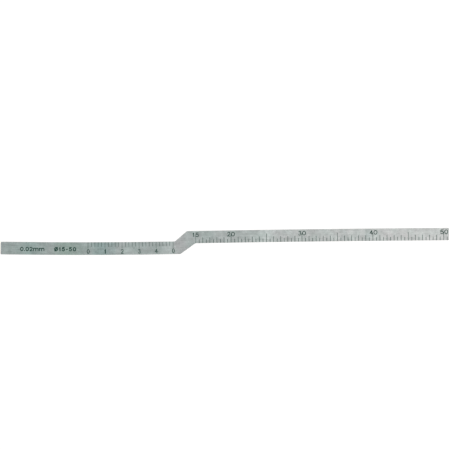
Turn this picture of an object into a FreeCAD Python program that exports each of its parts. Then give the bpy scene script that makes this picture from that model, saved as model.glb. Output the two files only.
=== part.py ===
import FreeCAD, Part
import math
import os

from FreeCAD import Vector

# A diameter tape: one flat strip of spring steel that is wrapped round a cylinder and shows its
# diameter. Two arms run into each other through a crank, which lets them lie side by side on the
# work. The left arm has a vernier on its upper edge, the right arm the main scale on its lower
# edge. Sizes are in millimetres. +X runs along the strip in reading direction, +Y across it and
# +Z out of the graduated face, and the strip lies flat on its plain face.

# Strip
thickness = 0.20
vernier_arm_width = 5.60
main_arm_width = 5.45
blank_end_length = 38.7       # left end to the vernier's zero line, room for the inscription
free_end_length = 0.8         # last line of the main scale to the right end
end_corner_radius = 0.35
edge_bevel = 0.03             # takes the sharpness off the cut edges, all round both faces

# Set of the strip in its own plane: each arm bends gently towards its scale edge
vernier_bend_radius = 2400.0
main_bend_radius = 10200.0

# Crank between the arms, with lengths along the strip
crank_lead = 0.85             # vernier's last line to the foot of the crank's upper flank
upper_flank_length = 5.40
lower_flank_length = 6.75
lower_flank_shift = 2.33      # foot of the lower flank past the foot of the upper one
edge_overlap = 0.78           # main scale's edge starts this much below the vernier's edge
crank_corner_radius = 1.2

# Scales: a line for the diameter D lies pi * (D + thickness) along the strip from the zero line
division = 0.5                # diameter between neighbouring lines of the main scale
last_diameter = 50.5
vernier_divisions = 25        # they span one main division less
numbered_step = 5             # vernier divisions between its numbered lines

# Etched lines and the ink in them
vernier_line_width = 0.17
main_line_width = 0.22
etch_depth = 0.05
ink_depth = 0.04              # the ink dries a little below the face
half_line = 1.6               # main scale, half millimetres
unit_line = 2.5               # whole millimetres
long_line = 3.8               # every fifth and tenth millimetre
vernier_line = 2.0
vernier_numbered_line = 2.8

# Overlap of the tools that cut the lines, past the edge and above the face
tool_clearance = 0.3

# Distance within which an edge of the plate counts as the one at a corner
find_tolerance = 1e-4


class Arm:
    """One arm of the strip, laid out along its scale edge, which is an arc of a large circle."""

    def __init__(self, start, heading, bend_radius, side, first, line_width):
        self.radius = bend_radius
        self.side = side                      # +1: the arm lies above its scale edge, -1: below
        self.first = first                    # distance along the strip at the start point
        self.line_width = line_width
        self.start_angle = -side * heading
        reach = Vector(math.sin(self.start_angle), side * math.cos(self.start_angle), 0)
        self.centre = start - reach * bend_radius

    def angle(self, along):
        return self.start_angle + (along - self.first) / self.radius

    def heading(self, along):
        return -self.side * self.angle(along)

    def point(self, along, inward=0.0):
        angle = self.angle(along)
        reach = Vector(math.sin(angle), self.side * math.cos(angle), 0)
        return self.centre + reach * (self.radius + inward)

    def edge(self, begin, end, inward=0.0):
        middle = (begin + end) / 2
        arc = Part.Arc(self.point(begin, inward), self.point(middle, inward), self.point(end, inward))
        return arc.toShape()

    def line_tool(self, along, length, bottom, height):
        """Block of one graduation line, square to the scale edge, which it runs out over."""
        corner = Vector(-self.line_width / 2, -tool_clearance, bottom)
        block = Part.makeBox(self.line_width, length + tool_clearance, height, corner)
        half_turn = 180.0 if self.side < 0 else 0.0
        block.rotate(Vector(0, 0, 0), Vector(0, 0, 1), math.degrees(self.heading(along)) + half_turn)
        block.translate(self.point(along))
        return block


def strip_between(arms, corners):
    """The flat strip: both arms and the crank from one closed outline, corners rounded, rims bevelled."""
    vernier, main = arms
    left, upper_foot, lower_foot, upper_head, lower_head, right = corners
    outline = Part.Wire([
        vernier.edge(left, lower_foot, vernier_arm_width),
        Part.makeLine(vernier.point(lower_foot, vernier_arm_width), main.point(lower_head)),
        main.edge(lower_head, right),
        Part.makeLine(main.point(right), main.point(right, main_arm_width)),
        main.edge(right, upper_head, main_arm_width),
        Part.makeLine(main.point(upper_head, main_arm_width), vernier.point(upper_foot)),
        vernier.edge(upper_foot, left),
        Part.makeLine(vernier.point(left), vernier.point(left, vernier_arm_width)),
    ])
    plate = Part.Face(outline).extrude(Vector(0, 0, thickness))
    crank_corners = [
        vernier.point(upper_foot),
        vernier.point(lower_foot, vernier_arm_width),
        main.point(lower_head),
        main.point(upper_head, main_arm_width),
    ]
    end_corners = [
        vernier.point(left),
        vernier.point(left, vernier_arm_width),
        main.point(right),
        main.point(right, main_arm_width),
    ]
    plate = rounded(plate, crank_corners, crank_corner_radius)
    plate = rounded(plate, end_corners, end_corner_radius)
    rims = [edge for edge in plate.Edges if edge.BoundBox.ZLength < thickness / 2]
    return plate.makeChamfer(edge_bevel, rims)


def rounded(plate, corners, radius):
    """Fillet the plate's upright edges that stand at the given corners."""
    half_way_up = Vector(0, 0, thickness / 2)
    upright = [
        edge for edge in plate.Edges
        if min((edge.CenterOfMass - corner - half_way_up).Length for corner in corners) < find_tolerance
    ]
    return plate.makeFillet(radius, upright)


def main_line_length(count):
    """Length of a main scale line, from how many divisions its diameter holds."""
    per_unit = round(1 / division)
    if count % (5 * per_unit) == 0:
        return long_line
    return unit_line if count % per_unit == 0 else half_line


def graduation(arms, lower_head):
    """All lines of both scales, as (arm, distance along the strip, length)."""
    vernier, main = arms
    lines = []
    for count in range(vernier_divisions + 1):
        length = vernier_numbered_line if count % numbered_step == 0 else vernier_line
        lines.append((vernier, count * vernier_pitch, length))
    first_count = math.ceil(((lower_head + main.line_width / 2) / math.pi - thickness) / division)
    last_count = round(last_diameter / division)
    for count in range(first_count, last_count + 1):
        lines.append((main, math.pi * (count * division + thickness), main_line_length(count)))
    return lines


# Places along the strip, from the vernier's zero line
vernier_pitch = math.pi * division * (vernier_divisions - 1) / vernier_divisions
left_end = -blank_end_length
upper_foot = vernier_divisions * vernier_pitch + crank_lead
lower_foot = upper_foot + lower_flank_shift
upper_head = upper_foot + upper_flank_length
lower_head = lower_foot + lower_flank_length
right_end = math.pi * (last_diameter + thickness) + free_end_length

# The arms are parallel where they meet the crank
vernier_arm = Arm(Vector(0, 0, 0), 0.0, vernier_bend_radius, -1, 0.0, vernier_line_width)
main_start = Vector(lower_head, vernier_arm.point(upper_foot).y - edge_overlap, 0)
main_heading = vernier_arm.heading(upper_foot)
main_arm = Arm(main_start, main_heading, main_bend_radius, 1, lower_head, main_line_width)
both_arms = (vernier_arm, main_arm)

plate = strip_between(both_arms, (left_end, upper_foot, lower_foot, upper_head, lower_head, right_end))
scale_lines = graduation(both_arms, lower_head)

groove_floor = thickness - etch_depth
grooves = [
    arm.line_tool(along, length, groove_floor, etch_depth + tool_clearance)
    for arm, along, length in scale_lines
]
steel_tape = plate.cut(Part.makeCompound(grooves)).Solids[0]

# Each groove holds its own sliver of ink, trimmed flush with the strip's edge
fillings = [
    plate.common(arm.line_tool(along, length, groove_floor, ink_depth)).Solids[0]
    for arm, along, length in scale_lines
]
graduation_ink = Part.makeCompound(fillings)

# The origin is under the middle of the strip's box, on the face it lies on
box = steel_tape.optimalBoundingBox()
to_origin = Vector(-box.Center.x, -box.Center.y, -box.ZMin)

os.makedirs("parts", exist_ok=True)
for name, shape in (("steel_tape", steel_tape), ("graduation_ink", graduation_ink)):
    shape.translate(to_origin)
    shape.exportStep(f"parts/{name}.step")
    print(name, len(shape.Solids), "solids", round(shape.Volume, 3), "mm3", "valid", shape.isValid())
print("overall", round(box.XLength, 2), round(box.YLength, 2), round(box.ZLength, 2))
print("first and last line", round(scale_lines[vernier_divisions + 1][1], 3), round(scale_lines[-1][1], 3))
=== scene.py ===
import math

import bpy
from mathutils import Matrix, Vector


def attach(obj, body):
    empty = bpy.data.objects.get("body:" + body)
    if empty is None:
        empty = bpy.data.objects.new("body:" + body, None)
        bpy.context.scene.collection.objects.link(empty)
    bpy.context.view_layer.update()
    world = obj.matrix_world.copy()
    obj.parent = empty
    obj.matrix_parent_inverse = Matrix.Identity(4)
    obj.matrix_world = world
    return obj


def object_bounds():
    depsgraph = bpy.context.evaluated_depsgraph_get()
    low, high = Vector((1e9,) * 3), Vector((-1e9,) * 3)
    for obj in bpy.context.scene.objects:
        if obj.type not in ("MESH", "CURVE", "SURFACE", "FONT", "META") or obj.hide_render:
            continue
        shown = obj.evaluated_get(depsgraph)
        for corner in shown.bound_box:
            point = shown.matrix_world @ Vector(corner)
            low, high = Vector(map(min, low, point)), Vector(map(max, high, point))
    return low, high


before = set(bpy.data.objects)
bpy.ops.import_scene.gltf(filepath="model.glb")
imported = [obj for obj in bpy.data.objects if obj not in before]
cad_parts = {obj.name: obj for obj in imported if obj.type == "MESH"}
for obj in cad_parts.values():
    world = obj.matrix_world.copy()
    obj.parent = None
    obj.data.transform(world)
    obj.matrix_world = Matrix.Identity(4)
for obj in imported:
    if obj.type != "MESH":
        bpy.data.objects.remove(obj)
cadLow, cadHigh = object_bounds()
scene = bpy.context.scene
scene.view_settings.view_transform = "Standard"

mm = 0.001
print("frame loaded with", len(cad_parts), "nodes")


# Helpers


def linearColour(hexCode):
    # sRGB hex to the linear colour that shaders take
    levels = [int(hexCode[i:i + 2], 16) / 255 for i in (1, 3, 5)]
    linear = [v / 12.92 if v <= 0.04045 else ((v + 0.055) / 1.055) ** 2.4 for v in levels]
    return (*linear, 1.0)


def addNode(tree, kind, inputs=None, **settings):
    # each input is a value, or the output of another node, which is linked to it
    node = tree.nodes.new(kind)
    for name, value in settings.items():
        setattr(node, name, value)
    for socket, given in (inputs or {}).items():
        if isinstance(given, bpy.types.NodeSocket):
            tree.links.new(given, node.inputs[socket])
        else:
            node.inputs[socket].default_value = given
    return node


def selectOnly(*pieces):
    bpy.ops.object.select_all(action="DESELECT")
    for piece in pieces:
        piece.select_set(True)
    bpy.context.view_layer.objects.active = pieces[0]


# Camera: it looks straight down, as the photo does

photo = {
    "width": 199.48 * mm,           # width of the view at the tape's face
    "middle": (0.10 * mm, 7.31 * mm),
    "roll": -0.075,                 # degrees
    "lens": 50.0,
    "sensor": 36.0,
}


def makeCamera():
    distance = photo["width"] * photo["lens"] / photo["sensor"]
    bpy.ops.object.camera_add(location=(*photo["middle"], cadHigh.z + distance))
    camera = bpy.context.object
    camera.name = "photoCamera"
    camera.rotation_euler = (0, 0, math.radians(photo["roll"]))
    camera.data.lens = photo["lens"]
    camera.data.sensor_width = photo["sensor"]
    camera.data.clip_start = 10 * mm
    scene.camera = camera
    print("camera stands", round(distance / mm), "mm above the tape")


# Room: a white floor, dim cool walls all round and one soft lamp, which the tape's right half mirrors

room = {
    "walls": "#CBD4D3",
    "floor": "#F2F2F2",
    "floorSize": 30.0,              # metres, so that its far edge stays level in low views
    "floorGlow": "#FFF4F4",
    "glowStrength": 0.42,           # lifts the floor to white for the eye, its shadows stay
    "lampColour": "#FFEDEE",
    "lampWatts": 5.6,
    "lampSize": (1.6, 1.8),
    "lampPlace": (0.91, 0.0, 1.0),
}


def makeRoom():
    world = bpy.data.worlds.new("coolRoom")
    scene.world = world
    world.use_nodes = True
    world.node_tree.nodes["Background"].inputs["Color"].default_value = linearColour(room["walls"])

    bpy.ops.mesh.primitive_plane_add(size=room["floorSize"])
    floor = bpy.context.object
    floor.name = "studioFloor"
    material = bpy.data.materials.new("whiteFloorPaint")
    material.use_nodes = True
    tree = material.node_tree
    tree.nodes.clear()
    rays = addNode(tree, "ShaderNodeLightPath").outputs
    seen = rays["Is Camera Ray"]
    for kind in ("Is Glossy Ray", "Is Transmission Ray"):
        seen = addNode(tree, "ShaderNodeMath", {0: seen, 1: rays[kind]}, operation="ADD").outputs[0]
    strength = addNode(tree, "ShaderNodeMath", {0: seen, 1: room["glowStrength"]}, operation="MULTIPLY")
    glow = addNode(tree, "ShaderNodeEmission", {
        "Color": linearColour(room["floorGlow"]), "Strength": strength.outputs[0]})
    matte = addNode(tree, "ShaderNodeBsdfDiffuse", {"Color": linearColour(room["floor"])})
    both = addNode(tree, "ShaderNodeAddShader", {0: matte.outputs[0], 1: glow.outputs[0]})
    addNode(tree, "ShaderNodeOutputMaterial", {"Surface": both.outputs[0]})
    floor.data.materials.append(material)

    bpy.ops.object.light_add(type="AREA", location=room["lampPlace"])
    lamp = bpy.context.object
    lamp.name = "softLamp"
    lamp.data.shape = "RECTANGLE"
    lamp.data.size, lamp.data.size_y = room["lampSize"]
    lamp.data.energy = room["lampWatts"]
    lamp.data.color = linearColour(room["lampColour"])[:3]
    print("room made")


makeCamera()
makeRoom()


# Scale lines: where each one meets its scale edge, and its way into the strip, read from the ink

scales = {
    "vernierLines": 26,
    "firstDiameter": 15.0,          # mm, at the first line of the main scale
    "division": 0.5,                # mm of diameter from one of its lines to the next
    "lineGap": 0.6 * mm,            # less than the space between two lines
    "endBand": 0.1 * mm,            # corners this near to the end of a line belong to it
    "vernierBend": 2400 * mm,       # radius of the vernier's edge, centred above it
}


def readLines():
    spots = sorted((v.co.x, v.co.y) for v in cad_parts["graduation_ink"].data.vertices)
    groups = [[spots[0]]]
    for spot in spots[1:]:
        if spot[0] - groups[-1][-1][0] > scales["lineGap"]:
            groups.append([])
        groups[-1].append(spot)
    lines = []
    for number, group in enumerate(groups):
        ends = []
        for wanted in (min(y for x, y in group), max(y for x, y in group)):
            across = [x for x, y in group if abs(y - wanted) < scales["endBand"]]
            ends.append(Vector(((min(across) + max(across)) / 2, wanted, 0)))
        foot, head = ends
        edge, far = (head, foot) if number < scales["vernierLines"] else (foot, head)
        lines.append((edge, (far - edge).normalized()))
    return lines


lines = readLines()
print("scale lines found:", len(lines))


def mainLine(diameter):
    count = round((diameter - scales["firstDiameter"]) / scales["division"])
    return lines[scales["vernierLines"] + count]


# Steel: cold rolled spring steel strip, finished lengthwise with a fine belt and handled since.
# To the eye it is a satin grey with fine scratches along the strip and soft cloudy patches.

steelFinish = {
    "colour": "#C5C7C6",
    "coolTint": "#F5FCFA",
    "warmTint": "#FCFAFB",
    "tintPatch": 6.0,                           # mm across a patch of cooler or warmer grey
    # each shade: mm along and across the strip, darkest and lightest
    "shades": {
        "cloud": (2.6, 2.6, 0.84, 1.12),
        "speckle": (0.5, 0.5, 0.9, 1.1),
        "streak": (9.0, 0.5, 0.91, 1.08),       # belt marks, drawn coarser than real so that they show
        "scratch": (7.0, 0.06, 0.88, 1.10),
    },
    "scratchDepth": 0.0015,                     # mm
    # a few scratches from handling: mm along and across, degrees from the strip
    "scars": [(5.0, 0.05, 14), (3.0, 0.04, -33), (4.0, 0.05, 68)],
    "scarBand": (0.66, 0.70),                   # high and narrow, so that only a few of them show
    "scarShade": 1.25,
    # patches: mm along the strip from the origin, how many mm it reaches to either side, and its tint.
    # The steel is made greener and darker round both marks and the vernier's start.
    "coolPatches": [(-85.5, 7.5, "#F5FFFD"), (-70.0, 9.5, "#F0FDF5"), (-54.5, 8.0, "#E8F7F6")],
    "warmCrank": [(-19.5, 6.0, "#FFF8FA")],
    # three darker grey patches on the main scale
    "darkPatches": [(39.5, 4.0, "#F1F3F2"), (53.0, 3.0, "#F1F3F3"), (63.5, 3.0, "#EEF4F3")],
    # places made lighter, with their gain
    "lightened": [(-43.0, 7.0, 1.12), (-24.5, 5.0, 1.15), (-20.0, 13.0, 1.06), (18.5, 6.0, 1.17)],
    "roughness": (0.32, 0.42),
    "edgeColour": "#AEB1B0",                    # bevels and cut edges
    "edgeRoughness": 0.5,
    "edgeFrom": 0.95,                           # upright part of the normal below which a face is an edge
}

# The end of a patch is uneven: factors on the distance from its middle
patchFade = (0.6, 1.4)


def makePattern(tree, along, across, low, high, seed, band=(0.3, 0.7), turn=0.0):
    # marks of that size in mm, spread over low to high; a narrow band leaves only a few of them
    place = addNode(tree, "ShaderNodeTexCoord").outputs["Object"]
    turned = addNode(tree, "ShaderNodeVectorRotate", {"Vector": place, "Angle": math.radians(turn)},
                     rotation_type="Z_AXIS").outputs[0]
    scale = [1 / (size * mm) for size in (along, across, across)]
    scaled = addNode(tree, "ShaderNodeMapping", {"Vector": turned, "Scale": scale}).outputs[0]
    noise = addNode(tree, "ShaderNodeTexNoise", {"Vector": scaled, "W": seed, "Scale": 1.0, "Detail": 3.0},
                    noise_dimensions="4D").outputs[0]
    return addNode(tree, "ShaderNodeMapRange", {
        "Value": noise, "From Min": band[0], "From Max": band[1], "To Min": low, "To Max": high}).outputs[0]


def makePatch(tree, middle, reach):
    # 1 in the middle of a patch, fading unevenly to 0 at its reach along the strip
    place = addNode(tree, "ShaderNodeTexCoord").outputs["Object"]
    along = addNode(tree, "ShaderNodeSeparateXYZ", {0: place}).outputs["X"]
    away = addNode(tree, "ShaderNodeMath", {0: along, 1: middle * mm}, operation="SUBTRACT").outputs[0]
    away = addNode(tree, "ShaderNodeMath", {0: away}, operation="ABSOLUTE").outputs[0]
    uneven = makePattern(tree, reach / 2, reach / 2, *patchFade, seed=middle)
    away = addNode(tree, "ShaderNodeMath", {0: away, 1: uneven}, operation="MULTIPLY").outputs[0]
    return addNode(tree, "ShaderNodeMapRange", {
        "Value": away, "From Min": reach * mm, "From Max": 0, "To Min": 0, "To Max": 1},
        interpolation_type="SMOOTHSTEP").outputs[0]


def layerColours(tree, colour, layers, blend="MULTIPLY"):
    # each layer has a share and a colour, both plain values or the outputs of nodes
    for share, tint in layers:
        colour = addNode(tree, "ShaderNodeMix", {0: share, 6: colour, 7: tint},
                         data_type="RGBA", blend_type=blend).outputs[2]
    return colour


def makeSteel():
    material = bpy.data.materials.new("satinSpringSteel")
    material.use_nodes = True
    tree = material.node_tree
    shader = tree.nodes["Principled BSDF"]
    shader.inputs["Metallic"].default_value = 1.0

    patch = steelFinish["tintPatch"]
    tint = layerColours(tree, linearColour(steelFinish["coolTint"]), [
        (makePattern(tree, patch, patch, 0, 1, seed=3), linearColour(steelFinish["warmTint"]))], "MIX")
    layers = [(1.0, tint)]
    for seed, shade in enumerate(steelFinish["shades"].values()):
        layers.append((1.0, makePattern(tree, *shade, seed=seed)))
    for seed, (along, across, turn) in enumerate(steelFinish["scars"], start=20):
        layers.append((1.0, makePattern(tree, along, across, 1.0, steelFinish["scarShade"],
                                        seed, steelFinish["scarBand"], turn)))
    # tinted patches along the strip, multiplied into the steel's colour
    for patchKind in ("coolPatches", "warmCrank", "darkPatches"):
        for middle, reach, tint in steelFinish[patchKind]:
            layers.append((makePatch(tree, middle, reach), linearColour(tint)))
    for middle, reach, gain in steelFinish["lightened"]:
        layers.append((makePatch(tree, middle, reach), (gain, gain, gain, 1.0)))
    colour = layerColours(tree, linearColour(steelFinish["colour"]), layers)
    cloudSize = steelFinish["shades"]["cloud"][:2]
    roughness = makePattern(tree, *cloudSize, *steelFinish["roughness"], seed=5)

    normal = addNode(tree, "ShaderNodeTexCoord").outputs["Normal"]
    upright = addNode(tree, "ShaderNodeSeparateXYZ", {0: normal}).outputs["Z"]
    upright = addNode(tree, "ShaderNodeMath", {0: upright}, operation="ABSOLUTE").outputs[0]
    edge = addNode(tree, "ShaderNodeMath", {0: upright, 1: steelFinish["edgeFrom"]},
                   operation="LESS_THAN").outputs[0]
    colour = layerColours(tree, colour, [(edge, linearColour(steelFinish["edgeColour"]))], "MIX")
    tree.links.new(colour, shader.inputs["Base Color"])
    roughness = addNode(tree, "ShaderNodeMix", {0: edge, 2: roughness, 3: steelFinish["edgeRoughness"]})
    tree.links.new(roughness.outputs[0], shader.inputs["Roughness"])

    # the scratches of the colour, as shallow grooves
    scratchSize = steelFinish["shades"]["scratch"][:2]
    scratchSeed = list(steelFinish["shades"]).index("scratch")
    scratch = makePattern(tree, *scratchSize, 0, 1, seed=scratchSeed)
    bump = addNode(tree, "ShaderNodeBump", {"Height": scratch, "Strength": 1.0,
                                            "Distance": steelFinish["scratchDepth"] * mm})
    tree.links.new(bump.outputs[0], shader.inputs["Normal"])
    return material


# Ink: green-black scale paint, rubbed into the etched lines and wiped off the face.
# To the eye it is dull and nearly black, thinner and greener where the wiping took more of it.

inkFinish = {
    "full": "#05392D",
    "thin": "#194F43",
    "patch": 2.4,                               # mm
    "grain": (0.10, 0.10, 0.70, 1.30),          # mm along and across, darkest and lightest
    "roughness": (0.42, 0.62),
    "shine": 0.28,                              # specular level, the paint is chalky
    "lightened": (-30.0, 30.0, "#38594F"),         # mm along and reach: the vernier is handled most
    "wornLine": 15.0,                           # diameter whose line has lost most of its ink
    "wornColour": "#7E8C87",
}


def makeInk(name, worn):
    material = bpy.data.materials.new(name)
    material.use_nodes = True
    tree = material.node_tree
    shader = tree.nodes["Principled BSDF"]
    shader.inputs["Specular IOR Level"].default_value = inkFinish["shine"]
    patch = inkFinish["patch"]
    middle, reach, lightened = inkFinish["lightened"]
    layers = [(makePattern(tree, patch, patch, 0, 1, seed=6), linearColour(inkFinish["thin"])),
              (makePatch(tree, middle, reach), linearColour(lightened))]
    if worn:
        edge = mainLine(inkFinish["wornLine"])[0]
        place = addNode(tree, "ShaderNodeTexCoord").outputs["Object"]
        along = addNode(tree, "ShaderNodeSeparateXYZ", {0: place}).outputs["X"]
        here = addNode(tree, "ShaderNodeMath", {0: along, 1: edge.x, 2: scales["lineGap"]},
                       operation="COMPARE")
        layers.append((here.outputs[0], linearColour(inkFinish["wornColour"])))
    colour = layerColours(tree, linearColour(inkFinish["full"]), layers, "MIX")
    colour = layerColours(tree, colour, [(1.0, makePattern(tree, *inkFinish["grain"], seed=8))])
    tree.links.new(colour, shader.inputs["Base Color"])
    roughness = makePattern(tree, patch, patch, *inkFinish["roughness"], seed=7)
    tree.links.new(roughness, shader.inputs["Roughness"])
    return material


figureInk = makeInk("scaleInk", worn=False)
nodeFinishes = {
    "steel_tape": makeSteel(),
    "graduation_ink": makeInk("rubbedInInk", worn=True),
}
for nodeName, material in nodeFinishes.items():
    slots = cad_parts[nodeName].data.materials
    slots.clear()
    slots.append(material)
print("steel and ink made")


# Numerals: engraver's figures, drawn by a round pen. Each is a list of strokes in a box of one by one.

film = {
    "proud": 0.004,                 # mm that the dried ink stands above the face
    "sides": 1,                     # bevel resolution of the pen
    "endAngles": (30, 60, 85),      # degrees round the end of a stroke, where it narrows
    "bowStep": 15,                  # degrees
    "nesting": 0.985,               # each further stroke's pen, so that no two meet flush
    "weld": 0.0004,                 # mm
}


def bow(centre, reach, start, end):
    # part of an ellipse, from one angle to another in degrees
    count = round(abs(end - start) / film["bowStep"])
    angles = [math.radians(start + (end - start) * i / count) for i in range(count + 1)]
    return [(centre[0] + reach[0] * math.cos(a), centre[1] + reach[1] * math.sin(a)) for a in angles]


figures = {
    "0": [bow((0.5, 0.5), (0.5, 0.5), 0, 360)],
    "1": [[(0.62, 0), (0.62, 1)], [(0.62, 1), (0.28, 0.74)]],
    "2": [bow((0.5, 0.72), (0.46, 0.28), 165, -38) + [(0.02, 0)], [(0.02, 0), (1, 0)]],
    "3": [bow((0.46, 0.77), (0.42, 0.23), 150, -90), bow((0.46, 0.27), (0.50, 0.27), 90, -150)],
    "4": [[(0.72, 1), (0, 0.29)], [(0, 0.29), (1, 0.29)], [(0.72, 1), (0.72, 0)]],
    "5": [[(0.92, 1), (0.18, 1)], [(0.18, 1), (0.09, 0.55)], bow((0.48, 0.33), (0.50, 0.33), 132, -148)],
    ".": [[(0, 0), (1, 0)], [(0, 0.06), (1, 0.06)]],
    "-": [[(0.15, 0.45), (0.85, 0.45)]],
    "Ø": [bow((0.5, 0.5), (0.5, 0.5), 0, 360), [(0.02, -0.04), (0.98, 1.04)]],
    "m": [[(0, 0), (0, 0.76)], bow((0.25, 0.52), (0.25, 0.24), 165, 0) + [(0.5, 0)],
          bow((0.75, 0.52), (0.25, 0.24), 165, 0) + [(1, 0)]],
}

# Sizes in mm: height of a figure, stroke of the pen (pens: for single figures), gap between figures,
# depth from the scale edge to their middle, and each figure's width
penSets = {
    "main": {"height": 2.0, "pen": 0.33, "gap": 0.28, "depth": 3.76,
             "widths": {"0": 1.70, "1": 1.10, "2": 1.45, "3": 1.45, "4": 1.50, "5": 1.60}},
    "vernier": {"height": 2.05, "pen": 0.305, "pens": {"0": 0.33, "1": 0.48}, "gap": 0.3, "depth": 4.08,
                "widths": {"0": 1.25, "1": 0.90, "2": 1.25, "3": 1.25, "4": 1.30}},
    "resolution": {"height": 1.90, "pen": 0.385, "gap": 0.20, "depth": 3.08,
                   "widths": {"0": 1.55, ".": 0.46, "2": 1.42, "m": 2.40}},
    "range": {"height": 1.90, "pen": 0.43, "gap": 0.33, "depth": 3.08,
              "widths": {"Ø": 1.65, "1": 1.05, "5": 1.45, "-": 1.00, "0": 1.50}},
}


def penStroke(points, pen):
    # a round tube along the points, with round ends unless it closes on itself
    closed = (Vector(points[0]) - Vector(points[-1])).length < film["weld"]
    route = [(x, y, 1.0) for x, y in (points[:-1] if closed else points)]
    if not closed:
        ends = []
        for tip, inner in ((points[0], points[1]), (points[-1], points[-2])):
            way = (Vector(tip) - Vector(inner)).normalized() * pen / 2
            angles = [math.radians(a) for a in film["endAngles"]]
            ends.append([
                (tip[0] + way.x * math.sin(a), tip[1] + way.y * math.sin(a), math.cos(a)) for a in angles])
        route = ends[0][::-1] + route + ends[1]
    bpy.ops.curve.primitive_nurbs_path_add()
    curve = bpy.context.object.data
    spline = curve.splines[0]
    spline.type = "POLY"
    spline.points.add(len(route) - len(spline.points))
    for point, (x, y, radius) in zip(spline.points, route):
        point.co = (x, y, 0, 1)
        point.radius = radius
    spline.use_cyclic_u = closed
    curve.bevel_depth = pen / 2
    curve.bevel_resolution = film["sides"]
    curve.use_fill_caps = True
    selectOnly(bpy.context.object)
    bpy.ops.object.convert(target="MESH")
    bpy.ops.object.mode_set(mode="EDIT")
    bpy.ops.mesh.select_all(action="SELECT")
    bpy.ops.mesh.remove_doubles(threshold=film["weld"])
    bpy.ops.mesh.normals_make_consistent(inside=False)
    bpy.ops.object.mode_set(mode="OBJECT")
    return bpy.context.object


def makeFigure(sign, penSet):
    # sizes in mm; the strokes become one closed film, its lower half in the steel
    height, width = penSet["height"], penSet["widths"][sign]
    pen = penSet.get("pens", {}).get(sign, penSet["pen"])
    strokes = []
    for number, stroke in enumerate(figures[sign]):
        points = [(x * (width - pen) + pen / 2, y * (height - pen) + pen / 2) for x, y in stroke]
        strokes.append(penStroke(points, pen * film["nesting"] ** number))
    figure = strokes[0]
    for stroke in strokes[1:]:
        selectOnly(figure)
        join = figure.modifiers.new("join", "BOOLEAN")
        join.operation = "UNION"
        join.solver = "EXACT"
        join.object = stroke
        bpy.ops.object.modifier_apply(modifier=join.name)
        bpy.data.objects.remove(stroke)
    selectOnly(figure)
    bpy.ops.object.mode_set(mode="EDIT")
    bpy.ops.mesh.select_all(action="SELECT")
    bpy.ops.mesh.remove_doubles(threshold=film["weld"])
    bpy.ops.mesh.dissolve_degenerate(threshold=film["weld"])
    bpy.ops.transform.resize(value=(1, 1, film["proud"] / (pen / 2)), center_override=(0, 0, 0))
    bpy.ops.object.mode_set(mode="OBJECT")
    bpy.ops.object.shade_smooth()
    return figure


drawn = {}


def setWord(name, word, setName, middle, turn):
    # a word of figures, centred on that place of the face and turned by that angle
    penSet = penSets[setName]
    length = sum(penSet["widths"][sign] for sign in word) + penSet["gap"] * (len(word) - 1)
    left = -length / 2
    copies = []
    for sign in word:
        if (setName, sign) not in drawn:
            drawn[setName, sign] = makeFigure(sign, penSet)
        copy = drawn[setName, sign].copy()
        copy.data = copy.data.copy()
        scene.collection.objects.link(copy)
        copy.location = (left, -penSet["height"] / 2, 0)
        copies.append(copy)
        left += penSet["widths"][sign] + penSet["gap"]
    selectOnly(*copies)
    bpy.ops.object.transform_apply(location=True, rotation=True, scale=True)
    if len(copies) > 1:
        bpy.ops.object.join()
    piece = bpy.context.object
    piece.name = piece.data.name = name
    piece.scale = (mm, mm, mm)
    piece.rotation_euler = (0, 0, turn)
    piece.location = (middle.x, middle.y, cadHigh.z)
    bpy.ops.object.transform_apply(location=True, rotation=True, scale=True)
    piece.data.materials.clear()
    piece.data.materials.append(figureInk)
    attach(piece, "root")


def numberLine(name, word, setName, line, aside=0.0):
    # on a scale line, at its set's distance from the scale edge
    edge, inward = line
    up = inward if inward.y > 0 else -inward
    right = Vector((up.y, -up.x, 0))
    middle = edge + inward * penSets[setName]["depth"] * mm + right * aside * mm
    setWord(name, word, setName, middle, math.atan2(right.y, right.x))


mainNumbers = {15: 0.0, 20: 0.0, 30: 0.1, 40: 0.3, 50: 0.2}     # mm to the right of the line
vernierNumbers = "012340"
vernierStep = 5                     # divisions from one number to the next
vernierAside = 0.08                 # mm

for diameter, aside in mainNumbers.items():
    numberLine(f"main_number_{diameter}", str(diameter), "main", mainLine(diameter), aside)
for count, sign in enumerate(vernierNumbers):
    numberLine(f"vernier_number_{count}", sign, "vernier", lines[count * vernierStep], vernierAside)
print("numerals set")


# Marks on the blank end: the value of one vernier division and the range of the tape

marks = {
    # before: mm from the middle of the mark to the vernier's zero line
    "resolution_mark": {"word": "0.02mm", "set": "resolution", "before": 24.7},
    "range_mark": {"word": "Ø15-50", "set": "range", "before": 10.1},
}


def setMark(name, mark):
    zeroEdge = lines[0][0]
    turn = -mark["before"] * mm / scales["vernierBend"]
    centre = zeroEdge + Vector((0, scales["vernierBend"], 0))
    reach = scales["vernierBend"] + penSets[mark["set"]]["depth"] * mm
    middle = centre + Vector((math.sin(turn), -math.cos(turn), 0)) * reach
    setWord(name, mark["word"], mark["set"], middle, turn)


for name, mark in marks.items():
    setMark(name, mark)
for figure in drawn.values():
    bpy.data.objects.remove(figure)
print("marks set")
